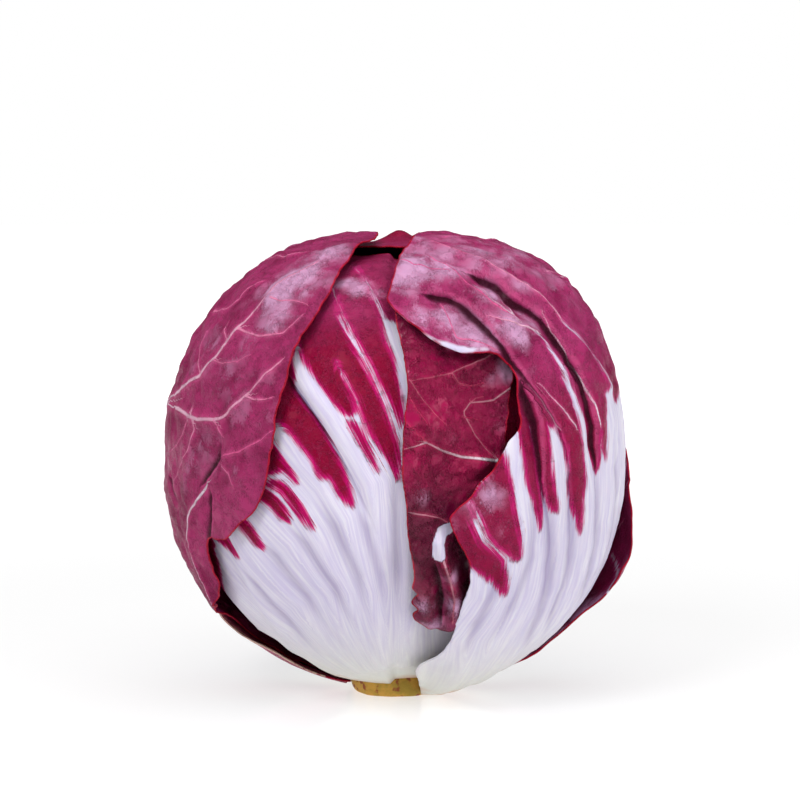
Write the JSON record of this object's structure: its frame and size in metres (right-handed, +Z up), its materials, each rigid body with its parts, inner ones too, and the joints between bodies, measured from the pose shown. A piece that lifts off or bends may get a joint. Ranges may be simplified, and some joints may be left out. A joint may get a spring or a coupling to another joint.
{
  "type": "radicchio head",
  "caption": "Whole round head of red radicchio standing on its cut stem, wine-red and purple leaves with white ribs.",
  "frame": {"origin": "centre of the flat cut face at the bottom of the stem", "axes": "+Z up through the head, the seen front towards -Y, the pleated right leaf towards +X"},
  "size_m": [0.121, 0.1197, 0.1198],
  "materials": {
    "stem_flesh": "matte cut vegetable flesh, pale ochre",
    "heart_leaf": "waxy wine-red leaf",
    "ribbed_leaf": "waxy white ribs with wine-red blade between them",
    "dark_leaf": "glossy dark crimson leaf",
    "dusty_leaf": "satin purple-red leaf with a dusty bloom"
  },
  "bodies": {
    "root": {"stem": "stem_flesh", "heart": "heart_leaf", "leaf_front": "ribbed_leaf", "leaf_back": "ribbed_leaf", "leaf_middle": "dark_leaf", "leaf_left": "dusty_leaf", "leaf_right": "ribbed_leaf", "leaf_outer_left": "ribbed_leaf", "leaf_outer_right": "ribbed_leaf"}
  },
  "joints": []
}
